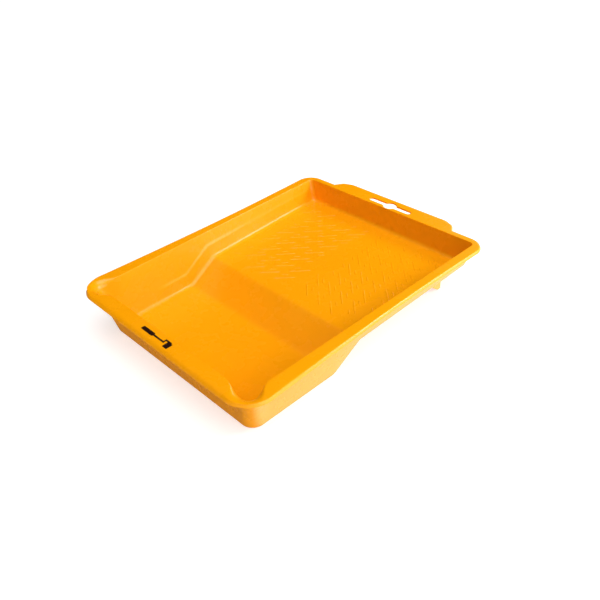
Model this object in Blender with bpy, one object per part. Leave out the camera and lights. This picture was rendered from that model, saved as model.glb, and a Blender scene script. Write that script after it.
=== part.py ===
"""Paint roller tray: one injection-moulded polypropylene shell and the mark printed on its rim.

Frame, in metres: +X runs from the paint well to the hang tab, +Z is up, and the origin lies on
the surface that the tray stands on, under the middle of the tray's box. The shell is built of
rings that go round the tray: from the floor up the inside, over the rim, and down the outside to
the underside. All rings have the same number of points, and two grids close the floor.
"""
from math import atan2, cos, hypot, pi, sin

import bmesh
import bpy

# The whole tray
RIM_LENGTH = 0.395
RIM_WIDTH = 0.300
HEIGHT = 0.0615
WALL = 0.0022
TAB_REACH = 0.017
RIM_START = -(RIM_LENGTH + TAB_REACH) / 2

# Floor: a flat well, a steep slope and a nearly level ramp, in distances from the rim's well end
SLOPE_FOOT = 0.141
SLOPE_TOP = 0.181
RAMP_END = 0.381
RAMP_LOW = 0.0264
RAMP_HIGH = 0.0312

# Rim: a flat flange with a short lip turned down at its edge
WAIST = 0.0030
FAR_FLARE = 0.0025
RIM_RADII = (0.033, 0.023)
LIP_DROP = 0.0040
LIP_ROUND = 0.0010
FLANGE_WELL_END = 0.0195
FLANGE_FAR_END = 0.0107
FLANGE_SIDE_WELL = 0.0215
FLANGE_SIDE_FAR = 0.0110

# Walls: how far each leans inwards from the flange to the floor
SIDE_LEAN = 0.0080
WELL_LEAN = 0.0067
FAR_LEAN = 0.0035
CAVITY_RADII_TOP = (0.0100, 0.0065)
CAVITY_RADII_FOOT = (0.0130, 0.0055)

# Pour notches: the cavity swells into both well corners of the flange
NOTCH_DEPTH_X = 0.0060
NOTCH_DEPTH_Y = 0.0065
NOTCH_START_X = 0.047
NOTCH_START_Y = 0.096
NOTCH_RUN = 0.022
NOTCH_FADE = 0.45

# Hang tab and its slot: half widths across the tray, and how far the shoulder stands out
TAB_ROOT = 0.1005
TAB_SHOULDER = 0.0935
TAB_TIP = 0.080
TAB_SHOULDER_REACH = 0.0115
SLOT_X = 0.3945
SLOT_HALF_LENGTH = 0.0345
SLOT_HALF_WIDTH = 0.0042
SLOT_EYE_RADIUS = 0.0092

# Legs and ribs under the ramp
WEB = 0.0025
LEG_X = 0.354
LEG_Y = 0.1155
LEG_ALONG = (0.042, 0.005)
LEG_ACROSS = (0.034, 0.005)
RIB_DROP = 0.008
BRACE_X = 0.196
BURY = 0.0011

# Printed mark: a paint roller lying along the flange at the well end
MARK_X = 0.0107
MARK_Y = 0.0035
MARK_HALF_LENGTH = 0.024
MARK_HALF_HEIGHT = 0.0048
MARK_FILM = 0.00015
MARK_GAP = 0.00005
MARK_STROKE = 0.0020
SLEEVE_HALF = (0.0042, 0.0036)
HANDLE_HALF = (0.0025, 0.0100)
WIRE_RISE = 0.0040

# Mesh density: steps on half a corner arc, steps from an arc to the nearest shared station
ARC = 3
LEAD = 3
SHARED_X = (0.066, 0.104, SLOPE_FOOT, SLOPE_TOP, 0.240, 0.300, 0.346)
SHARED_Y = (-TAB_ROOT, -TAB_SHOULDER, -TAB_TIP, -0.030, 0.030, TAB_TIP, TAB_SHOULDER, TAB_ROOT)
COLUMNS = 2 * (ARC + LEAD) + len(SHARED_X) - 1
ROWS = 2 * (ARC + LEAD) + len(SHARED_Y) - 1

TRAY_COLOUR = (1.0, 0.36, 0.008, 1.0)
INK_COLOUR = (0.020, 0.008, 0.006, 1.0)


def smooth(value):
    """Rise from 0 to 1 with level ends."""
    value = min(max(value, 0.0), 1.0)
    return value * value * (3 - 2 * value)


def mix(start, end, share):
    return start + (end - start) * share


def floor_height(along):
    """Height of the inner floor at a distance from the rim's well end."""
    if along <= SLOPE_FOOT:
        return WALL
    if along <= SLOPE_TOP:
        return mix(WALL, RAMP_LOW, (along - SLOPE_FOOT) / (SLOPE_TOP - SLOPE_FOOT))
    return mix(RAMP_LOW, RAMP_HIGH, (along - SLOPE_TOP) / (RAMP_END - SLOPE_TOP))


def under_height(along):
    return floor_height(along) - WALL


def waist(along):
    """How far the rim's long edges are drawn in: most at mid-length, and outwards at the far end."""
    share = along / RIM_LENGTH
    return WAIST * (1 - (2 * share - 1) ** 2) - FAR_FLARE * smooth(2 * share - 1)


def side_flange(along):
    """Width of the flange on the long sides: the cavity widens towards the far end."""
    return mix(FLANGE_SIDE_WELL, FLANGE_SIDE_FAR, along / RIM_LENGTH)


def notch(along, across):
    """How much of the pour notch there is at a place in plan, from 0 to 1."""
    from_centre = smooth((abs(across) - NOTCH_START_Y) / NOTCH_RUN)
    from_side = smooth((NOTCH_START_X - along) / NOTCH_RUN)
    return from_centre * from_side


def tab_reach(across):
    """How far the hang tab stands out beyond the rim's far end."""
    across = abs(across)
    if across >= TAB_ROOT:
        return 0.0
    if across >= TAB_SHOULDER:
        return TAB_SHOULDER_REACH * (TAB_ROOT - across) / (TAB_ROOT - TAB_SHOULDER)
    if across >= TAB_TIP:
        share = (TAB_SHOULDER - across) / (TAB_SHOULDER - TAB_TIP)
        return mix(TAB_SHOULDER_REACH, TAB_REACH, share)
    return TAB_REACH


def stations(low, high, low_radius, high_radius, shared):
    """Places along an axis for a rounded outline: arc, lead, shared places, lead, arc."""
    arc = [1 - cos(pi / 4 * (1 + k / ARC)) for k in range(ARC)]
    start = low + low_radius
    stop = high - high_radius
    lead = [mix(start, shared[0], k / LEAD) for k in range(LEAD)]
    tail = [mix(shared[-1], stop, k / LEAD) for k in range(1, LEAD + 1)]
    near = [low + low_radius * part for part in arc]
    far = [high - high_radius * part for part in reversed(arc)]
    return near + lead + list(shared) + tail + far


class Ring:
    """A rounded rectangle round the tray: its insets from the rim's edges, and its height."""

    def __init__(self, well, far, side, radii, height, notched=0.0, tabbed=False):
        self.well = well
        self.far = RIM_LENGTH - far
        self.side = side
        self.radii = radii
        self.height = height
        self.notched = notched
        self.tabbed = tabbed
        half = RIM_WIDTH / 2
        self.xs = stations(self.well, self.far, radii[0], radii[1], SHARED_X)
        self.ys = [stations(-half, half, radius, radius, SHARED_Y) for radius in radii]

    def plan(self, column, row):
        """Place in plan of a point of the grid, before the sides are drawn in."""
        along = min(column, COLUMNS - column)
        across = min(row, ROWS - row)
        at_far = column > COLUMNS / 2
        side = 1 if row > ROWS / 2 else -1
        share = column / COLUMNS
        x = self.xs[column]
        y = mix(self.ys[0][row], self.ys[1][row], share)
        if along <= ARC and across <= ARC and (along == 0 or across == 0):
            angle = pi / 4 * (1 + (along - across) / ARC)
            radius = self.radii[at_far]
            x_in = radius * (1 - cos(angle))
            x = self.far - x_in if at_far else self.well + x_in
            y = side * (RIM_WIDTH / 2 - radius * (1 - sin(angle)))
        elif across == 0:
            y = side * RIM_WIDTH / 2
        elif along == 0:
            x = self.far if at_far else self.well
            y = self.ys[at_far][row]
        return x, y

    def point(self, column, row):
        """The finished point, in the tray's frame."""
        x, y = self.plan(column, row)
        straight = RIM_WIDTH / 2 - mix(self.radii[0], self.radii[1], column / COLUMNS)
        side = 1 if y > 0 else -1
        y -= side * self.side(x) * min(1.0, abs(y) / straight)
        height = self.height(x)
        swell = self.notched * notch(x, y)
        if self.tabbed and column == COLUMNS:
            x += tab_reach(y)
        x -= NOTCH_DEPTH_X * swell
        y += side * NOTCH_DEPTH_Y * swell
        return RIM_START + x, y, height


def round_the_edge():
    """Grid places round the floor's edge, anticlockwise from the well's corner at -Y."""
    south = [(column, 0) for column in range(COLUMNS)]
    east = [(COLUMNS, row) for row in range(ROWS)]
    north = [(column, ROWS) for column in range(COLUMNS, 0, -1)]
    west = [(0, row) for row in range(ROWS, 0, -1)]
    return south + east + north + west


def rim_ring(inset, drop):
    """A ring on the rim's outer edge, this far in and this far below the top."""
    radii = [radius - inset for radius in RIM_RADII]
    return Ring(inset, inset, lambda along: waist(along) + inset, radii,
                lambda along: HEIGHT - drop, tabbed=True)


def wall_ring(share, outset=0.0, notched=0.0):
    """A ring on the cavity's wall, from its top edge (share 0) to the floor (share 1). The outer
    side of the wall stands outset further out, and its floor lies that much lower."""
    radii = [mix(top, foot, share) + outset
             for top, foot in zip(CAVITY_RADII_TOP, CAVITY_RADII_FOOT)]
    return Ring(FLANGE_WELL_END + WELL_LEAN * share - outset,
                FLANGE_FAR_END + FAR_LEAN * share - outset,
                lambda along: side_flange(along) + SIDE_LEAN * share - outset, radii,
                lambda along: mix(HEIGHT, floor_height(along), share) - outset, notched)


def shell_rings():
    """All rings of the shell, from the edge of the floor to the edge of its underside."""
    return [
        wall_ring(1.0),
        wall_ring(NOTCH_FADE, notched=0.4),
        wall_ring(0.0, notched=1.0),
        rim_ring(LIP_ROUND, 0.0),
        rim_ring(0.0, LIP_ROUND),
        rim_ring(0.0, LIP_DROP),
        rim_ring(WALL, LIP_DROP),
        rim_ring(WALL, WALL),
        wall_ring(0.0, WALL, notched=1.0),
        wall_ring(NOTCH_FADE, WALL, notched=0.4),
        wall_ring(1.0, WALL),
    ]


def add_floor(mesh, ring, edge, facing_up):
    """Close a ring with a grid of faces."""
    corners = dict(zip(round_the_edge(), edge))
    for column in range(1, COLUMNS):
        for row in range(1, ROWS):
            corners[column, row] = mesh.verts.new(ring.point(column, row))
    for column in range(COLUMNS):
        for row in range(ROWS):
            places = ((column, row), (column + 1, row), (column + 1, row + 1), (column, row + 1))
            face = [corners[place] for place in places]
            mesh.faces.new(face if facing_up else face[::-1])


def shell_mesh():
    mesh = bmesh.new()
    rings = shell_rings()
    loops = [[mesh.verts.new(ring.point(*place)) for place in round_the_edge()] for ring in rings]
    for inner, outer in zip(loops, loops[1:]):
        for k, corner in enumerate(inner):
            mesh.faces.new((outer[k - 1], outer[k], corner, inner[k - 1]))
    add_floor(mesh, rings[0], loops[0], facing_up=True)
    add_floor(mesh, rings[-1], loops[-1], facing_up=False)
    return mesh


def prism(outline, low, high):
    """A closed solid between two heights over a plan outline of (x, y), anticlockwise."""
    mesh = bmesh.new()
    low_loop = [mesh.verts.new((x, y, low)) for x, y in outline]
    high_loop = [mesh.verts.new((x, y, high)) for x, y in outline]
    mesh.faces.new(low_loop[::-1])
    mesh.faces.new(high_loop)
    for k, corner in enumerate(low_loop):
        mesh.faces.new((low_loop[k - 1], corner, high_loop[k], high_loop[k - 1]))
    return mesh


def web_mesh(start, end, low, high, thickness=WEB):
    """An upright plate between two plan points. low lists its lower edge as (share of the run,
    height), and high gives its upper edge's height at both ends."""
    run_x, run_y = end[0] - start[0], end[1] - start[1]
    length = hypot(run_x, run_y)
    side = (-run_y / length * thickness / 2, run_x / length * thickness / 2)
    profile = low + [(1.0, high[1]), (0.0, high[0])]
    mesh = bmesh.new()
    sheets = []
    for sign in (-1, 1):
        sheets.append([mesh.verts.new((start[0] + run_x * share + sign * side[0],
                                       start[1] + run_y * share + sign * side[1], z))
                       for share, z in profile])
    mesh.faces.new(sheets[0])
    mesh.faces.new(sheets[1][::-1])
    for k in range(len(profile)):
        mesh.faces.new((sheets[0][k], sheets[0][k - 1], sheets[1][k - 1], sheets[1][k]))
    bmesh.ops.recalc_face_normals(mesh, faces=mesh.faces)
    return mesh


def leg_webs(side):
    """The two plates of one corner leg, each narrowing from the ramp's underside to the ground."""
    corner = (LEG_X, side * LEG_Y)
    inner_x = LEG_X - LEG_ALONG[0]
    inner_y = side * (LEG_Y - LEG_ACROSS[0])
    roots = [under_height(x) + BURY for x in (LEG_X, inner_x)]
    webs = []
    for end, lengths, root in (((inner_x, corner[1]), LEG_ALONG, roots[1]),
                               ((LEG_X, inner_y), LEG_ACROSS, roots[0])):
        tip = lengths[1] / lengths[0]
        skirt = root - 2 * BURY
        low = [(0.0, 0.0), (tip, 0.0), (1.0, skirt)]
        webs.append(web_mesh(corner, end, low, (roots[0], root)))
    return webs


def rib(start, end):
    """A low stiffening rib on the ramp's underside."""
    roots = [under_height(point[0]) + BURY for point in (start, end)]
    drop = BURY + RIB_DROP
    return web_mesh(start, end, [(0.0, roots[0] - drop), (1.0, roots[1] - drop)], roots)


def new_object(name, mesh, collection):
    """An object from a bmesh."""
    data = bpy.data.meshes.new(name)
    mesh.to_mesh(data)
    mesh.free()
    thing = bpy.data.objects.new(name, data)
    collection.objects.link(thing)
    return thing


def as_tool(thing):
    """Hide an object that only cuts or joins another."""
    thing.hide_render = True
    thing.display_type = "WIRE"
    return thing


def combine(target, tool, operation):
    modifier = target.modifiers.new(operation.title(), "BOOLEAN")
    modifier.operation = operation
    modifier.solver = "EXACT"
    modifier.object = as_tool(tool)


def arc_points(centre, radius, start, end, steps):
    """Points on an arc from one angle to another."""
    angles = [mix(start, end, k / steps) for k in range(steps + 1)]
    return [(centre[0] + radius * cos(a), centre[1] + radius * sin(a)) for a in angles]


def slot_outline():
    """Two round-ended arms across the tab, with a round eye in the middle."""
    centre_x = RIM_START + SLOT_X
    arm_end = SLOT_HALF_LENGTH - SLOT_HALF_WIDTH
    opening = atan2(SLOT_HALF_WIDTH, (SLOT_EYE_RADIUS ** 2 - SLOT_HALF_WIDTH ** 2) ** 0.5)
    eye = SLOT_EYE_RADIUS
    return (arc_points((centre_x, 0), eye, -pi / 2 + opening, pi / 2 - opening, 8)
            + arc_points((centre_x, arm_end), SLOT_HALF_WIDTH, 0, pi, 6)
            + arc_points((centre_x, 0), eye, pi / 2 + opening, 3 * pi / 2 - opening, 8)
            + arc_points((centre_x, -arm_end), SLOT_HALF_WIDTH, pi, 2 * pi, 6))


def rounded_box(centre, half_size, radius, steps=3):
    """Outline of a rounded rectangle, anticlockwise."""
    points = []
    for quarter, (sx, sy) in enumerate(((1, 1), (-1, 1), (-1, -1), (1, -1))):
        corner = (centre[0] + sx * (half_size[0] - radius), centre[1] + sy * (half_size[1] - radius))
        points += arc_points(corner, radius, quarter * pi / 2, (quarter + 1) * pi / 2, steps)
    return points


def material(name, colour, roughness):
    finish = bpy.data.materials.new(name)
    finish.use_nodes = True
    shader = finish.node_tree.nodes["Principled BSDF"]
    shader.inputs["Base Color"].default_value = colour
    shader.inputs["Roughness"].default_value = roughness
    shader.inputs["Metallic"].default_value = 0.0
    return finish


def make_tray_body(collection):
    """The shell with its legs and ribs joined on and the hanging slot cut through."""
    tray = new_object("tray_body", shell_mesh(), collection)
    tray.data.materials.append(material("polypropylene", TRAY_COLOUR, 0.3))
    plates = []
    for side in (-1, 1):
        plates += leg_webs(side)
        plates.append(rib((BRACE_X, -side * LEG_Y), (LEG_X, side * LEG_Y)))
    plates.append(rib((BRACE_X, -LEG_Y), (BRACE_X, LEG_Y)))
    for number, plate in enumerate(plates):
        bmesh.ops.translate(plate, verts=plate.verts, vec=(RIM_START, 0, 0))
        combine(tray, new_object(f"web_{number}", plate, collection), "UNION")
    slot = prism(slot_outline(), HEIGHT - 2 * LIP_DROP, HEIGHT + LIP_DROP)
    combine(tray, new_object("slot_cutter", slot, collection), "DIFFERENCE")


def stroke(path, width):
    """Outline of a line of even width with mitred corners."""
    left, right = [], []
    for k, (x, y) in enumerate(path):
        before = path[max(k - 1, 0)]
        after = path[min(k + 1, len(path) - 1)]
        turns = [(p, q) for p, q in ((before, (x, y)), ((x, y), after)) if p != q]
        normals = [((p[1] - q[1]), (q[0] - p[0])) for p, q in turns]
        units = [(nx / hypot(nx, ny), ny / hypot(nx, ny)) for nx, ny in normals]
        nx, ny = sum(unit[0] for unit in units), sum(unit[1] for unit in units)
        reach = width / 2 * len(units) / (nx * nx + ny * ny)
        left.append((x + nx * reach, y + ny * reach))
        right.append((x - nx * reach, y - ny * reach))
    return right + left[::-1]


def make_printed_mark(collection):
    """A paint roller drawn in ink: sleeve, bent wire and handle, joined into one thin film."""
    low = HEIGHT + MARK_GAP
    high = low + MARK_FILM
    x = RIM_START + MARK_X
    sleeve_y = MARK_Y - MARK_HALF_LENGTH + SLEEVE_HALF[1]
    handle_y = MARK_Y + MARK_HALF_LENGTH - HANDLE_HALF[1]
    arm_x = x + MARK_HALF_HEIGHT - MARK_STROKE / 2
    bend_y = sleeve_y + SLEEVE_HALF[1] + WIRE_RISE
    sleeve = rounded_box((x - MARK_HALF_HEIGHT + SLEEVE_HALF[0], sleeve_y), SLEEVE_HALF, 0.0008)
    handle = rounded_box((x, handle_y), HANDLE_HALF, 0.0012)
    wire = stroke([(x, sleeve_y), (arm_x, sleeve_y), (arm_x, bend_y), (x, bend_y), (x, handle_y)],
                  MARK_STROKE)
    mark = new_object("printed_mark", prism(sleeve, low, high), collection)
    mark.data.materials.append(material("ink", INK_COLOUR, 0.4))
    for name, outline in (("wire", wire), ("handle", handle)):
        combine(mark, new_object(name, prism(outline, low, high), collection), "UNION")


def build():
    for thing in list(bpy.data.objects):
        bpy.data.objects.remove(thing)
    collection = bpy.context.scene.collection
    make_tray_body(collection)
    make_printed_mark(collection)


build()
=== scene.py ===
"""Looks of a moulded paint roller tray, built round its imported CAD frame.

The shell is one swept mesh. A section with all of its fillets is worked out at each station
round the tray, and two grids close the floor and the underside. Lengths are in metres, and
"along" is always the distance from the rim's well end.
"""
from math import atan2, cos, pi, radians, sin

import bmesh
import bpy
import numpy as np
from mathutils import Matrix, Vector


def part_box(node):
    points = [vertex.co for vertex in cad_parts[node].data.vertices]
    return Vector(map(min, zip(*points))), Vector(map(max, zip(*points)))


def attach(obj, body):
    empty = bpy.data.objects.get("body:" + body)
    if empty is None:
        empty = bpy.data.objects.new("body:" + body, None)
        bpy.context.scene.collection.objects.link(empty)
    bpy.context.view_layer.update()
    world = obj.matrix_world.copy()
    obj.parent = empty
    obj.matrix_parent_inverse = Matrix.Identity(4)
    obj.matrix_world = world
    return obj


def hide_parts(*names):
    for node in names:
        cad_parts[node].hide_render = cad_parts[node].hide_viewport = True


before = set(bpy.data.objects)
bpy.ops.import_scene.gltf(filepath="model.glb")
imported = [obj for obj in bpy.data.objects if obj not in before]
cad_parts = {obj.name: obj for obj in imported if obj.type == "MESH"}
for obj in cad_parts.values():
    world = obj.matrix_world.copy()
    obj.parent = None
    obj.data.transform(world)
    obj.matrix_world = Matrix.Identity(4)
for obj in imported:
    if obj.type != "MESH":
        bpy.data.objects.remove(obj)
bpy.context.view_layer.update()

# The frame gives the tray's ends and its height
TRAY_LOW, TRAY_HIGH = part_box("tray_body")
RIM_START = TRAY_LOW.x
HEIGHT = TRAY_HIGH.z
TAB_REACH = 0.017
RIM_LENGTH = TRAY_HIGH.x - TAB_REACH - RIM_START
HALF_WIDTH = 0.150
WALL = 0.0022

# Floor
SLOPE_FOOT = 0.141
SLOPE_TOP = 0.181
RAMP_END = 0.381
RAMP_LOW = 0.0264
RAMP_HIGH = 0.0312
SLOPE_FOOT_ROUND = 0.0030
SLOPE_TOP_ROUND = 0.0025

# Rim
WAIST = 0.0030
FAR_FLARE = 0.0025
RIM_RADII = (0.033, 0.023)
LIP_DROP = 0.0040
LIP_SLANT = 0.0017
FLANGE_WELL_END = 0.0195
FLANGE_FAR_END = 0.0107
FLANGE_SIDE_WELL = 0.0215
FLANGE_SIDE_FAR = 0.0110

# Walls
SIDE_LEAN = 0.0080
WELL_LEAN = 0.0067
FAR_LEAN = 0.0035
CAVITY_RADII_TOP = (0.0100, 0.0065)
CAVITY_RADII_FOOT = (0.0130, 0.0055)
LEDGE_HEIGHT = 0.0170
LEDGE_SHIFT = 0.0050
LEDGE_RISE = 0.0030
LEDGE_DEPTH = 0.0009
LEDGE_START = 0.084
LEDGE_RUN = 0.026
LEDGE_FADE = (0.185, 0.080)
LEDGE_FAR_SHARE = 0.35

# Fillets, and the most of its neighbouring faces that a wide one may take up
FOOT_FILLET = 0.0042
TOP_FILLET = 0.0004
NOTCH_FILLET = 0.0088
EDGE_FILLET = 0.0014
WELL_EDGE_FILLET = 0.0040
LIP_FILLET = 0.0007
ROOT_FILLET = 0.0020
FOOT_LIMIT = 0.92
TOP_LIMIT = 0.90
EDGE_LIMIT = 0.85
PLATE_BEVEL = 0.0004
SHARP_ANGLE = radians(40)

# Where the rings just inside the foot and out on the flange run
FLOOR_INSET = 1.1 * FOOT_FILLET
FLANGE_OUTSET = 0.95 * FLANGE_FAR_END

# Pour notches
NOTCH_DEPTH_X = 0.0060
NOTCH_DEPTH_Y = 0.0065
NOTCH_START_X = 0.047
NOTCH_START_Y = 0.096
NOTCH_RUN = 0.022
NOTCH_FADE = 0.45
# Share of the notch that is left at each level of the wall
NOTCH_ON_BAND = 0.25
NOTCH_ABOVE_BAND = 0.30
NOTCH_ON_FADE = 0.40

# Hang tab and slot
TAB_ROOT = 0.1005
TAB_SHOULDER = 0.0935
TAB_TIP = 0.080
TAB_SHOULDER_REACH = 0.0115
TAB_ROUND = 0.0015
SLOT_X = 0.3945
SLOT_HALF_LENGTH = 0.0345
SLOT_HALF_WIDTH = 0.0042
SLOT_EYE_RADIUS = 0.0092

# Legs and ribs under the ramp
WEB = 0.0025
LEG_X = 0.354
LEG_Y = 0.1155
LEG_ALONG = (0.042, 0.005)
LEG_ACROSS = (0.034, 0.005)
RIB_DROP = 0.008
BRACE_X = 0.196
BURY = 0.0011

# Raised dashes on the ramp
DASH_WIDTH = 0.0032
DASH_HEIGHT = 0.00043
DASH_LONG = 0.030
DASH_SHORT = 0.013
DASH_GAP = 0.0085
DASH_SHORT_GAP = 2.2 * DASH_GAP
DASH_PITCH = 0.0068
DASH_ANGLE = radians(45)
DASH_TAPER = 0.004
DASH_SINK = 0.00006
DASH_LINES = range(-30, 60)
DASH_NUMBERS = range(-12, 24)
RAMP_MARGIN = 0.010
CENTRE_MARGIN = 0.004

# Mesh density: steps on half a corner arc, from an arc to the nearest shared station, in a
# fillet, round the slot's eye and arm ends, and along and across a dash
ARC = 8
LEAD = 9
FILLET_STEPS = 6
EYE_STEPS = 20
ARM_STEPS = 12
DASH_ROWS = 24
DASH_LANES = 8
MERGE = 0.00001
# Stations that every ring shares, close together at the slope and at the tab's shoulders
SHARED_X = ([0.054 + 0.0065 * k for k in range(12)] + [0.130 + 0.0020 * k for k in range(31)]
            + [0.1965 + 0.0070 * k for k in range(23)])
HALF_Y = [0.008 * k + 0.004 for k in range(8)] + [0.064 + 0.0020 * k for k in range(20)]
SHARED_Y = [-y for y in reversed(HALF_Y)] + HALF_Y
COLUMNS = 2 * (ARC + LEAD) + len(SHARED_X) - 1
ROWS = 2 * (ARC + LEAD) + len(SHARED_Y) - 1
# Rings on the straight runs of a section, as shares of the run
FIFTHS = (0.2, 0.4, 0.6, 0.8)
TENTHS = (0.1, 0.3, 0.5, 0.7, 0.9)
QUARTERS = (0.25, 0.5, 0.75)
THIRDS = (0.33, 0.67)

# Colours
ORANGE_DEEP = (0.93, 0.340, 0.0008, 1)
ORANGE_BRIGHT = (0.96, 0.362, 0.0010, 1)
INK_THIN = (0.030, 0.006, 0.001, 1)
INK_FULL = (0.010, 0.002, 0.001, 1)
WHITE = (1.0, 1.0, 1.0, 1)
PAPER = (0.55, 0.55, 0.55, 1)
BLACK = (0.0, 0.0, 0.0, 1)

# Studio
FLOOR_HALF = 12.0
FLOOR_SINK = 0.0002
BACKDROP_RADIUS = 11.0
WINDOW_SIDE = (0.55, -0.83, 0.0)
LAMP_TARGET = (0.0, 0.0, 0.03)

# Camera
CAMERA_PLACE = Vector((-0.4462, -0.4681, 0.4766))
CAMERA_YAW = radians(-44.29)
CAMERA_ELEVATION = radians(36.18)
CAMERA_ROLL = radians(-2.08)
CAMERA_LENS = 38.35
CAMERA_SENSOR = 36.0


def smooth(value):
    """Rise from 0 to 1 with level ends."""
    value = min(max(value, 0.0), 1.0)
    return value * value * (3 - 2 * value)


def mix(start, end, share):
    return start + (end - start) * share


def soft_ramp(value, round_half):
    """0 below 0 and value above it, with a round corner between."""
    if value <= -round_half:
        return 0.0
    if value >= round_half:
        return value
    return (value + round_half) ** 2 / (4 * round_half)


def floor_height(along):
    """Height of the inner floor, with its two creases rounded."""
    steep = (RAMP_LOW - WALL) / (SLOPE_TOP - SLOPE_FOOT)
    gentle = (RAMP_HIGH - RAMP_LOW) / (RAMP_END - SLOPE_TOP)
    return (WALL + steep * soft_ramp(along - SLOPE_FOOT, SLOPE_FOOT_ROUND)
            + (gentle - steep) * soft_ramp(along - SLOPE_TOP, SLOPE_TOP_ROUND))


def under_height(along):
    return floor_height(along) - WALL


def waist(along):
    """How far the rim's long edges are drawn in: most at mid-length, outwards at the far end."""
    share = along / RIM_LENGTH
    return WAIST * (1 - (2 * share - 1) ** 2) - FAR_FLARE * smooth(2 * share - 1)


def side_flange(along):
    return mix(FLANGE_SIDE_WELL, FLANGE_SIDE_FAR, along / RIM_LENGTH)


def notch(along, across):
    """How much of the pour notch there is at a place in plan, from 0 to 1."""
    from_centre = smooth((abs(across) - NOTCH_START_Y) / NOTCH_RUN)
    from_side = smooth((NOTCH_START_X - along) / NOTCH_RUN)
    return from_centre * from_side


def tab_reach(across):
    """How far the hang tab stands out beyond the rim's far end, with its corners rounded."""
    inside = TAB_ROOT - abs(across)
    steep = TAB_SHOULDER_REACH / (TAB_ROOT - TAB_SHOULDER)
    gentle = (TAB_REACH - TAB_SHOULDER_REACH) / (TAB_SHOULDER - TAB_TIP)
    reach = (steep * soft_ramp(inside, TAB_ROUND / 2)
             + (gentle - steep) * soft_ramp(inside - (TAB_ROOT - TAB_SHOULDER), TAB_ROUND)
             - gentle * soft_ramp(inside - (TAB_ROOT - TAB_TIP), TAB_ROUND))
    return min(reach, TAB_REACH)


def stations(low, high, low_radius, high_radius, shared):
    """Places along an axis for a rounded outline: arc, lead, shared places, lead, arc."""
    arc = [1 - cos(pi / 4 * (1 + k / ARC)) for k in range(ARC)]
    start = low + low_radius
    stop = high - high_radius
    lead = [mix(start, shared[0], k / LEAD) for k in range(LEAD)]
    tail = [mix(shared[-1], stop, k / LEAD) for k in range(1, LEAD + 1)]
    near = [low + low_radius * part for part in arc]
    far = [high - high_radius * part for part in reversed(arc)]
    return near + lead + list(shared) + tail + far


def round_the_edge():
    """Grid places round the floor's edge, anticlockwise from the well's corner at -Y."""
    south = [(column, 0) for column in range(COLUMNS)]
    east = [(COLUMNS, row) for row in range(ROWS)]
    north = [(column, ROWS) for column in range(COLUMNS, 0, -1)]
    west = [(0, row) for row in range(ROWS, 0, -1)]
    return south + east + north + west


class Ring:
    """A rounded rectangle round the tray: its insets from the rim's edges, and its height."""

    def __init__(self, well, far, side, radii, height, notched=0.0, tabbed=False):
        self.well = well
        self.far = RIM_LENGTH - far
        self.side = side
        self.radii = radii
        self.height = height
        self.notched = notched
        self.tabbed = tabbed
        self.xs = stations(self.well, self.far, radii[0], radii[1], SHARED_X)
        self.ys = [stations(-HALF_WIDTH, HALF_WIDTH, radius, radius, SHARED_Y)
                   for radius in radii]

    def plan(self, column, row):
        """Place in plan of a point of the grid, before the sides are drawn in."""
        along = min(column, COLUMNS - column)
        across = min(row, ROWS - row)
        at_far = column > COLUMNS / 2
        side = 1 if row > ROWS / 2 else -1
        x = self.xs[column]
        y = mix(self.ys[0][row], self.ys[1][row], column / COLUMNS)
        if along <= ARC and across <= ARC and (along == 0 or across == 0):
            angle = pi / 4 * (1 + (along - across) / ARC)
            radius = self.radii[at_far]
            x_in = radius * (1 - cos(angle))
            x = self.far - x_in if at_far else self.well + x_in
            y = side * (HALF_WIDTH - radius * (1 - sin(angle)))
        elif across == 0:
            y = side * HALF_WIDTH
        elif along == 0:
            x = self.far if at_far else self.well
            y = self.ys[at_far][row]
        return x, y

    def point(self, column, row):
        """The finished point, in the tray's frame."""
        x, y = self.plan(column, row)
        straight = HALF_WIDTH - mix(self.radii[0], self.radii[1], column / COLUMNS)
        side = 1 if y > 0 else -1
        y -= side * self.side(x) * min(1.0, abs(y) / straight)
        height = self.height(x)
        swell = self.notched * notch(x, y)
        if self.tabbed and column == COLUMNS:
            x += tab_reach(y)
        x -= NOTCH_DEPTH_X * swell
        y += side * NOTCH_DEPTH_Y * swell
        return RIM_START + x, y, height

    def loop(self):
        """All the ring's points, as an array."""
        return np.array([self.point(*place) for place in round_the_edge()])


def rim_ring(inset, drop):
    """A ring on the rim's outer edge, this far in and this far below the top."""
    radii = [radius - inset for radius in RIM_RADII]
    return Ring(inset, inset, lambda along: waist(along) + inset, radii,
                lambda along: HEIGHT - drop, tabbed=True)


def wall_ring(share, outset=0.0, notched=0.0, inset=0.0):
    """A ring on the cavity's wall, from its top edge (share 0) to the floor (share 1). The outer
    side of the wall stands outset further out, and its floor lies that much lower."""
    radii = [mix(top, foot, share) + outset - inset
             for top, foot in zip(CAVITY_RADII_TOP, CAVITY_RADII_FOOT)]
    shift = inset - outset
    return Ring(FLANGE_WELL_END + WELL_LEAN * share + shift,
                FLANGE_FAR_END + FAR_LEAN * share + shift,
                lambda along: side_flange(along) + SIDE_LEAN * share + shift, radii,
                lambda along: mix(HEIGHT, floor_height(along), share) - outset, notched)


def ledge(along):
    """How far the lower band of the side walls stands proud."""
    start, run = LEDGE_FADE
    fade = mix(1.0, LEDGE_FAR_SHARE, smooth((along - start) / run))
    return LEDGE_DEPTH * fade * smooth((along - LEDGE_START) / LEDGE_RUN)


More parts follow.
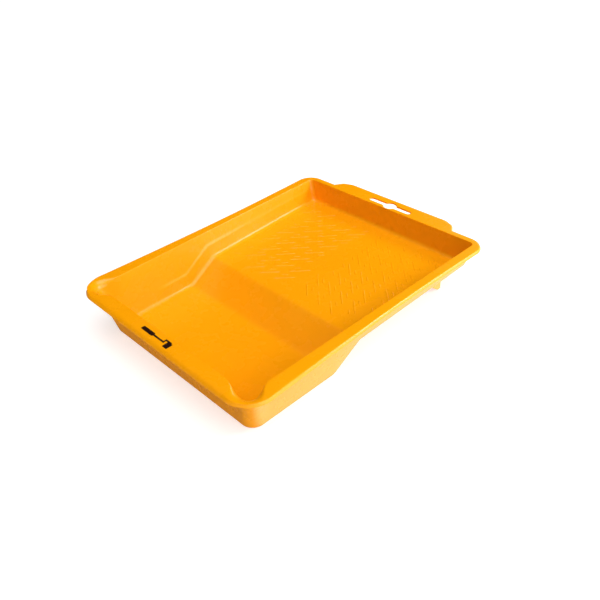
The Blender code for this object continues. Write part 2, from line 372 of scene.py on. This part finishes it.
def band_ring(above_floor, proud):
    """A ring on the inner wall this far above the floor, on the upper face or the proud one."""

    def height(along):
        return floor_height(along + LEDGE_SHIFT) + above_floor

    def share(along):
        return (HEIGHT - height(along)) / (HEIGHT - floor_height(along))

    def side(along):
        return side_flange(along) + SIDE_LEAN * share(along) + (ledge(along) if proud else 0.0)

    radii = [mix(top, foot, 0.5) for top, foot in zip(CAVITY_RADII_TOP, CAVITY_RADII_FOOT)]
    return Ring(FLANGE_WELL_END + WELL_LEAN * share(0.0),
                FLANGE_FAR_END + FAR_LEAN * share(RAMP_END), side, radii, height,
                notched=NOTCH_ON_BAND if proud else NOTCH_ABOVE_BAND)


def unit(vectors):
    return vectors / np.linalg.norm(vectors, axis=1, keepdims=True)


def fillet(before, corner, after, cut, limit=0.49):
    """Rings of an arc that rounds the corner of every section, cut away this far each way."""
    back, on = before - corner, after - corner
    reach = np.minimum(np.linalg.norm(back, axis=1), np.linalg.norm(on, axis=1)) * limit
    reach = np.minimum(reach, cut)[:, None]
    back, on = unit(back), unit(on)
    weight = np.sqrt(np.clip((1 - (back * on).sum(1)) / 2, 0.0, 1.0))[:, None]
    start, stop = corner + back * reach, corner + on * reach
    rings = []
    for k in range(FILLET_STEPS + 1):
        t = k / FILLET_STEPS
        a, b, c = (1 - t) ** 2, 2 * t * (1 - t) * weight, t * t
        rings.append((start * a + corner * b + stop * c) / (a + b + c))
    return rings


def flat(start, stop, shares):
    """Rings on the straight run between two rings."""
    return [mix(start, stop, share) for share in shares]


def inner_rings():
    """The cavity's wall: foot fillet, proud lower band, ledge and plain upper part."""
    floor = wall_ring(1.0, inset=FLOOR_INSET).loop()
    foot = wall_ring(1.0).loop()
    low = band_ring(LEDGE_HEIGHT, proud=True).loop()
    high = band_ring(LEDGE_HEIGHT + LEDGE_RISE, proud=False).loop()
    top = wall_ring(0.0, notched=1.0).loop()
    flange = wall_ring(0.0, notched=1.0, inset=-FLANGE_OUTSET).loop()
    swell = np.array([notch(x - RIM_START, y) for x, y, z in top])
    rings = fillet(floor, foot, low, FOOT_FILLET, limit=FOOT_LIMIT)
    rings += flat(rings[-1], low, FIFTHS)
    rings += fillet(rings[-1], low, high, LEDGE_RISE / 2)
    rings += fillet(low, high, top, LEDGE_RISE / 2)
    rings += flat(rings[-1], top, FIFTHS)
    rings += fillet(high, top, flange, mix(TOP_FILLET, NOTCH_FILLET, swell ** 2),
                    limit=TOP_LIMIT)
    return rings


def rim_rings(start):
    """The flange's top, the rounded edge, the lip, and back in under the flange."""
    top = rim_ring(LIP_SLANT, 0.0).loop()
    lip = rim_ring(0.0, LIP_DROP).loop()
    lip_in = rim_ring(WALL, LIP_DROP).loop()
    under = rim_ring(WALL, WALL).loop()
    root = wall_ring(0.0, WALL, notched=1.0).loop()
    low = wall_ring(NOTCH_FADE, WALL, notched=NOTCH_ON_FADE).loop()
    foot = wall_ring(1.0, WALL).loop()
    below = wall_ring(1.0, WALL, inset=FLOOR_INSET).loop()
    roll = np.array([smooth((RIM_RADII[0] - (x - RIM_START)) / RIM_RADII[0]) for x, y, z in top])
    rounded = fillet(start, top, lip, mix(EDGE_FILLET, WELL_EDGE_FILLET, roll),
                     limit=EDGE_LIMIT)
    rings = flat(start, rounded[0], TENTHS) + rounded
    rings += fillet(rings[-1], lip, lip_in, LIP_FILLET)
    rings += fillet(lip, lip_in, under, LIP_FILLET)
    rings += fillet(lip_in, under, root, LIP_FILLET)
    rooted = fillet(under, root, low, ROOT_FILLET)
    rings += flat(rings[-1], rooted[0], QUARTERS) + rooted
    rings += flat(rings[-1], low, THIRDS) + [low]
    outer = fillet(low, foot, below, FOOT_FILLET, limit=FOOT_LIMIT)
    return rings + flat(low, outer[0], THIRDS) + outer


def shell_mesh():
    """The whole thin shell as one closed mesh."""
    mesh = bmesh.new()
    inner = inner_rings()
    sections = inner + rim_rings(inner[-1])
    loops = [[mesh.verts.new(point) for point in section] for section in sections]
    for near, beyond in zip(loops, loops[1:]):
        for k, corner in enumerate(near):
            mesh.faces.new((beyond[k - 1], beyond[k], corner, near[k - 1]))
    add_floor(mesh, wall_ring(1.0, inset=FOOT_FILLET), loops[0], facing_up=True)
    add_floor(mesh, wall_ring(1.0, WALL, inset=FOOT_FILLET), loops[-1], facing_up=False)
    return mesh


def add_floor(mesh, ring, edge, facing_up):
    """Close a ring with a grid of faces."""
    corners = dict(zip(round_the_edge(), edge))
    for column in range(1, COLUMNS):
        for row in range(1, ROWS):
            corners[column, row] = mesh.verts.new(ring.point(column, row))
    for column in range(COLUMNS):
        for row in range(ROWS):
            places = ((column, row), (column + 1, row), (column + 1, row + 1), (column, row + 1))
            face = [corners[place] for place in places]
            mesh.faces.new(face if facing_up else face[::-1])


def arc_points(centre, radius, start, end, steps):
    """Points on an arc from one angle to another."""
    angles = [mix(start, end, k / steps) for k in range(steps + 1)]
    return [(centre[0] + radius * cos(a), centre[1] + radius * sin(a)) for a in angles]


def slot_outline():
    """Two round-ended arms across the tab, with a round eye in the middle."""
    centre_x = RIM_START + SLOT_X
    arm_end = SLOT_HALF_LENGTH - SLOT_HALF_WIDTH
    opening = atan2(SLOT_HALF_WIDTH, (SLOT_EYE_RADIUS ** 2 - SLOT_HALF_WIDTH ** 2) ** 0.5)
    eye = SLOT_EYE_RADIUS
    return (arc_points((centre_x, 0), eye, -pi / 2 + opening, pi / 2 - opening, EYE_STEPS)
            + arc_points((centre_x, arm_end), SLOT_HALF_WIDTH, 0, pi, ARM_STEPS)
            + arc_points((centre_x, 0), eye, pi / 2 + opening, 3 * pi / 2 - opening, EYE_STEPS)
            + arc_points((centre_x, -arm_end), SLOT_HALF_WIDTH, pi, 2 * pi, ARM_STEPS))


def prism(outline, low, high):
    """A closed solid between two heights over a plan outline of (x, y), anticlockwise."""
    mesh = bmesh.new()
    low_loop = [mesh.verts.new((x, y, low)) for x, y in outline]
    high_loop = [mesh.verts.new((x, y, high)) for x, y in outline]
    mesh.faces.new(low_loop[::-1])
    mesh.faces.new(high_loop)
    for k, corner in enumerate(low_loop):
        mesh.faces.new((low_loop[k - 1], corner, high_loop[k], high_loop[k - 1]))
    return mesh


def web_mesh(start, end, low, high):
    """An upright plate between two plan points. low lists its lower edge as (share of the run,
    height), and high gives its upper edge's height at both ends."""
    run = Vector(end) - Vector(start)
    side = Vector((-run.y, run.x)).normalized() * WEB / 2
    profile = low + [(1.0, high[1]), (0.0, high[0])]
    mesh = bmesh.new()
    sheets = []
    for sign in (-1, 1):
        places = [(Vector(start) + run * share + side * sign, z) for share, z in profile]
        sheets.append([mesh.verts.new((RIM_START + place.x, place.y, z)) for place, z in places])
    mesh.faces.new(sheets[0])
    mesh.faces.new(sheets[1][::-1])
    for k in range(len(profile)):
        mesh.faces.new((sheets[0][k], sheets[0][k - 1], sheets[1][k - 1], sheets[1][k]))
    bmesh.ops.recalc_face_normals(mesh, faces=mesh.faces)
    return mesh


def leg_webs(side):
    """The two plates of one corner leg, each narrowing from the ramp's underside to the ground."""
    corner = (LEG_X, side * LEG_Y)
    inner_x = LEG_X - LEG_ALONG[0]
    inner_y = side * (LEG_Y - LEG_ACROSS[0])
    roots = [under_height(x) + BURY for x in (LEG_X, inner_x)]
    webs = []
    for end, lengths, root in (((inner_x, corner[1]), LEG_ALONG, roots[1]),
                               ((LEG_X, inner_y), LEG_ACROSS, roots[0])):
        tip = lengths[1] / lengths[0]
        low = [(0.0, 0.0), (tip, 0.0), (1.0, root - 2 * BURY)]
        webs.append(web_mesh(corner, end, low, (roots[0], root)))
    return webs


def rib(start, end):
    """A low stiffening rib on the ramp's underside."""
    roots = [under_height(point[0]) + BURY for point in (start, end)]
    drop = BURY + RIB_DROP
    return web_mesh(start, end, [(0.0, roots[0] - drop), (1.0, roots[1] - drop)], roots)


def new_object(name, mesh):
    """An object in the scene from a bmesh."""
    data = bpy.data.meshes.new(name)
    mesh.to_mesh(data)
    mesh.free()
    thing = bpy.data.objects.new(name, data)
    bpy.context.scene.collection.objects.link(thing)
    return thing


def cut(target, tool):
    """Take the tool's shape out of the target for good."""
    modifier = target.modifiers.new("cut", "BOOLEAN")
    modifier.operation = "DIFFERENCE"
    modifier.solver = "EXACT"
    modifier.object = tool
    bpy.context.view_layer.update()
    graph = bpy.context.evaluated_depsgraph_get()
    data = bpy.data.meshes.new_from_object(target.evaluated_get(graph))
    target.modifiers.clear()
    target.data = data
    bpy.data.objects.remove(tool)


def finish_piece(thing, name, slot, finish, *nodes):
    """Name, paint and mount one piece on the tray's only body."""
    thing.name = name
    thing.data.materials.clear()
    thing.data.materials.append(finish)
    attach(thing, "root")
    if nodes:
        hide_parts(*nodes)
    return thing


def make_shell(finish):
    """The moulding, with the slot cut through its tab."""
    shell = new_object("moulded_shell", shell_mesh())
    cut(shell, new_object("slot_tool", prism(slot_outline(), HEIGHT - 2 * LIP_DROP,
                                             HEIGHT + LIP_DROP)))
    shell.data.shade_smooth()
    shell.data.set_sharp_from_angle(angle=SHARP_ANGLE)
    return finish_piece(shell, "moulded_shell", "polypropylene", finish, "tray_body")


def make_plates(finish):
    """Legs and ribs, each with its moulded edges softened."""
    plates = [rib((BRACE_X, -LEG_Y), (BRACE_X, LEG_Y))]
    for side in (-1, 1):
        plates += leg_webs(side)
        plates.append(rib((BRACE_X, -side * LEG_Y), (LEG_X, side * LEG_Y)))
    names = ["cross_rib", "leg_right_along", "leg_right_across", "brace_right",
             "leg_left_along", "leg_left_across", "brace_left"]
    for name, plate in zip(names, plates):
        bmesh.ops.bevel(plate, geom=plate.edges[:], offset=PLATE_BEVEL, segments=2, affect="EDGES")
        thing = new_object(name, plate)
        thing.data.shade_smooth()
        thing.data.set_sharp_from_angle(angle=SHARP_ANGLE)
        finish_piece(thing, name, "polypropylene", finish)


def ramp_half_width(along):
    """Half the flat width of the ramp."""
    return HALF_WIDTH - side_flange(along) - SIDE_LEAN - waist(along) - RAMP_MARGIN


def dash_places():
    """Centres, directions and lengths of the dashes: a herringbone that points to the far end."""
    places = []
    low, high = SLOPE_TOP + RAMP_MARGIN, RAMP_END - RAMP_MARGIN
    for side in (-1, 1):
        along_dash = Vector((cos(DASH_ANGLE), -side * sin(DASH_ANGLE)))
        across_dash = Vector((sin(DASH_ANGLE), side * cos(DASH_ANGLE)))
        for line in DASH_LINES:
            short = line % 2
            length = DASH_SHORT if short else DASH_LONG
            step = length + (DASH_SHORT_GAP if short else DASH_GAP)
            origin = Vector((low, 0.0)) + across_dash * (line * DASH_PITCH)
            for number in DASH_NUMBERS:
                shift = step * (number + 0.5 * (line // 2 % 2))
                centre = origin + along_dash * shift
                tips = [centre + along_dash * (sign * length / 2) for sign in (-1, 1)]
                if all(low < tip.x < high
                       and CENTRE_MARGIN < side * tip.y < ramp_half_width(tip.x)
                       for tip in tips):
                    places.append((centre, along_dash, length))
    return places


def add_dash(mesh, centre, direction, length):
    """One low closed ridge with a round back and tapered ends, let into the ramp."""
    sideways = Vector((-direction.y, direction.x))
    grid = []
    for row in range(DASH_ROWS + 1):
        t = 2 * row / DASH_ROWS - 1
        taper = max(0.0, 1 - t * t) ** 0.5
        rise = DASH_HEIGHT * smooth((1 - abs(t)) * length / 2 / DASH_TAPER)
        line = []
        for lane in range(DASH_LANES + 1):
            u = 2 * lane / DASH_LANES - 1
            place = centre + direction * (t * length / 2) + sideways * (u * taper * DASH_WIDTH / 2)
            bump = rise * cos(u * pi / 2) ** 2
            z = floor_height(place.x) - DASH_SINK + bump
            line.append(mesh.verts.new((RIM_START + place.x, place.y, z)))
        grid.append(line)
    for row in range(DASH_ROWS):
        for lane in range(DASH_LANES):
            mesh.faces.new((grid[row][lane], grid[row + 1][lane],
                            grid[row + 1][lane + 1], grid[row][lane + 1]))
    base = mesh.faces.new([line[-1] for line in grid]
                          + [line[0] for line in reversed(grid[1:-1])])
    for edge in base.edges:
        edge.smooth = False


def make_dashes(finish):
    """All the ramp's dashes, as one piece."""
    mesh = bmesh.new()
    for place in dash_places():
        add_dash(mesh, *place)
    bmesh.ops.remove_doubles(mesh, verts=mesh.verts, dist=MERGE)
    dashes = new_object("ramp_texture", mesh)
    dashes.data.shade_smooth()
    return finish_piece(dashes, "ramp_texture", "polypropylene", finish)


def node(tree, kind, **settings):
    """Add a shader node and set its sockets and properties."""
    made = tree.nodes.new(kind)
    for name, value in settings.items():
        socket = name.replace("_", " ")
        if socket in made.inputs:
            made.inputs[socket].default_value = value
        else:
            setattr(made, name, value)
    return made


def new_material(name):
    """A material with its node tree and its shader."""
    finish = bpy.data.materials.new(name)
    finish.use_nodes = True
    return finish, finish.node_tree, finish.node_tree.nodes["Principled BSDF"]


def two_tone(tree, first, first_colour, second, second_colour):
    """A colour ramp between two colours at two positions."""
    ramp = node(tree, "ShaderNodeValToRGB")
    for stop, position, colour in zip(ramp.color_ramp.elements, (first, second),
                                      (first_colour, second_colour)):
        stop.position = position
        stop.color = colour
    return ramp


def polypropylene():
    """Glossy dyed plastic: slightly uneven colour and gloss, and a fine orange peel."""
    finish, tree, shader = new_material("polypropylene")
    place = node(tree, "ShaderNodeTexCoord")
    cloud = node(tree, "ShaderNodeTexNoise", Scale=9.0, Detail=3.0, Roughness=0.5)
    tint = two_tone(tree, 0.30, ORANGE_DEEP, 0.75, ORANGE_BRIGHT)
    peel = node(tree, "ShaderNodeTexNoise", Scale=420.0, Detail=2.0, Roughness=0.5)
    haze = node(tree, "ShaderNodeTexNoise", Scale=38.0, Detail=4.0, Roughness=0.55)
    shine = node(tree, "ShaderNodeMapRange", From_Min=0.35, From_Max=0.70,
                 To_Min=0.25, To_Max=0.30)
    bump = node(tree, "ShaderNodeBump", Strength=0.018, Distance=0.0004)
    links = tree.links
    for texture in (cloud, peel, haze):
        links.new(place.outputs["Object"], texture.inputs["Vector"])
    links.new(cloud.outputs["Fac"], tint.inputs["Fac"])
    links.new(tint.outputs["Color"], shader.inputs["Base Color"])
    links.new(haze.outputs["Fac"], shine.inputs["Value"])
    links.new(shine.outputs["Result"], shader.inputs["Roughness"])
    links.new(peel.outputs["Fac"], bump.inputs["Height"])
    links.new(bump.outputs["Normal"], shader.inputs["Normal"])
    shader.inputs["IOR"].default_value = 1.49
    shader.inputs["Specular IOR Level"].default_value = 0.50
    return finish


def ink():
    """Printed dark ink with a slightly patchy cover."""
    finish, tree, shader = new_material("ink")
    place = node(tree, "ShaderNodeTexCoord")
    patchy = node(tree, "ShaderNodeTexNoise", Scale=900.0, Detail=3.0, Roughness=0.6)
    cover = two_tone(tree, 0.30, INK_THIN, 0.55, INK_FULL)
    tree.links.new(place.outputs["Object"], patchy.inputs["Vector"])
    tree.links.new(patchy.outputs["Fac"], cover.inputs["Fac"])
    tree.links.new(cover.outputs["Color"], shader.inputs["Base Color"])
    shader.inputs["Roughness"].default_value = 0.50
    shader.inputs["Specular IOR Level"].default_value = 0.20
    return finish


def glowing(name, base, roughness, specular, glow):
    """A plain surface that also gives off white light."""
    finish, _, shader = new_material(name)
    shader.inputs["Base Color"].default_value = base
    shader.inputs["Roughness"].default_value = roughness
    shader.inputs["Specular IOR Level"].default_value = specular
    shader.inputs["Emission Color"].default_value = WHITE
    shader.inputs["Emission Strength"].default_value = glow
    return finish


def make_studio():
    """A wide pale floor under the tray, and a white dome round it that lights nothing."""
    mesh = bmesh.new()
    bmesh.ops.create_grid(mesh, x_segments=1, y_segments=1, size=FLOOR_HALF)
    floor = new_object("studio_floor", mesh)
    floor.location.z = -FLOOR_SINK
    floor.data.materials.append(glowing("studio_floor", PAPER, 0.9, 0.5, 0.60))
    floor.visible_glossy = False
    mesh = bmesh.new()
    bmesh.ops.create_uvsphere(mesh, u_segments=48, v_segments=24, radius=BACKDROP_RADIUS)
    backdrop = new_object("studio_backdrop", mesh)
    backdrop.data.materials.append(glowing("studio_backdrop", BLACK, 0.5, 0.0, 1.0))
    backdrop.visible_diffuse = False
    backdrop.visible_glossy = False
    backdrop.visible_transmission = False
    backdrop.visible_shadow = False


def hang_lamp(name, data, place, target):
    """Put a light in the scene, aimed at a point."""
    lamp = bpy.data.objects.new(name, data)
    lamp.location = place
    lamp.rotation_euler = (Vector(target) - Vector(place)).to_track_quat("-Z", "Y").to_euler()
    bpy.context.scene.collection.objects.link(lamp)
    return lamp


def area_light(name, place, size, power):
    """A softbox aimed at the tray, hidden from the camera."""
    data = bpy.data.lights.new(name, "AREA")
    data.shape = "RECTANGLE"
    data.size, data.size_y = size
    data.energy = power
    hang_lamp(name, data, place, LAMP_TARGET).visible_camera = False


def soft_sun(name, place, spread, strength):
    """An even light from a large far-off source in this direction."""
    data = bpy.data.lights.new(name, "SUN")
    data.angle = radians(spread)
    data.energy = strength
    hang_lamp(name, data, place, (0, 0, 0))


def room():
    """A dim studio room that gets paler low down on the window's side."""
    world = bpy.data.worlds.new("room")
    world.use_nodes = True
    tree = world.node_tree
    links = tree.links
    place = node(tree, "ShaderNodeTexCoord")
    split = node(tree, "ShaderNodeSeparateXYZ")
    height = node(tree, "ShaderNodeMapRange", From_Min=-0.35, From_Max=0.42,
                  To_Min=1.80, To_Max=0.03, interpolation_type="SMOOTHSTEP")
    facing = node(tree, "ShaderNodeVectorMath", operation="DOT_PRODUCT")
    facing.inputs[1].default_value = WINDOW_SIDE
    side = node(tree, "ShaderNodeMapRange", From_Min=0.0, From_Max=0.7,
                To_Min=0.03, To_Max=1.10)
    shade = node(tree, "ShaderNodeMath", operation="MULTIPLY")
    links.new(place.outputs["Generated"], split.inputs["Vector"])
    links.new(place.outputs["Generated"], facing.inputs[0])
    links.new(split.outputs["Z"], height.inputs["Value"])
    links.new(facing.outputs["Value"], side.inputs["Value"])
    links.new(height.outputs["Result"], shade.inputs[0])
    links.new(side.outputs["Result"], shade.inputs[1])
    links.new(shade.outputs["Value"], tree.nodes["Background"].inputs["Color"])
    return world


def light_the_tray():
    """Three soft suns, three softboxes and the room."""
    soft_sun("window", (0.10, -1.25, 0.46), 46, 1.15)
    soft_sun("overhead", (-0.15, -0.30, 1.50), 56, 2.28)
    soft_sun("fill", (-1.00, -0.40, 0.80), 60, 0.30)
    area_light("key_softbox", (0.87, -0.90, 0.75), (0.45, 0.45), 10.5)
    area_light("side_strip", (1.40, 0.30, 0.30), (0.6, 0.4), 2.0)
    area_light("low_softbox", (0.85, -1.15, 0.20), (1.1, 0.35), 3.6)
    bpy.context.scene.world = room()


def make_camera():
    """A camera above the tray's near corner, with a slight roll."""
    data = bpy.data.cameras.new("camera")
    data.lens = CAMERA_LENS
    data.sensor_width = CAMERA_SENSOR
    data.clip_start = 0.01
    camera = bpy.data.objects.new("camera", data)
    back = Vector((sin(CAMERA_YAW) * cos(CAMERA_ELEVATION),
                   -cos(CAMERA_YAW) * cos(CAMERA_ELEVATION), sin(CAMERA_ELEVATION)))
    right = Vector((cos(CAMERA_YAW), sin(CAMERA_YAW), 0.0))
    right.rotate(Matrix.Rotation(CAMERA_ROLL, 3, back))
    up = back.cross(right)
    turn = Matrix((right, up, back)).transposed().to_4x4()
    camera.matrix_world = Matrix.Translation(CAMERA_PLACE) @ turn
    bpy.context.scene.collection.objects.link(camera)
    bpy.context.scene.camera = camera


plastic = polypropylene()
make_shell(plastic)
make_plates(plastic)
make_dashes(plastic)
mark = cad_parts["printed_mark"]
mark.data.materials.clear()
mark.data.materials.append(ink())
make_studio()
light_the_tray()
make_camera()
bpy.context.scene.view_settings.view_transform = "Standard"
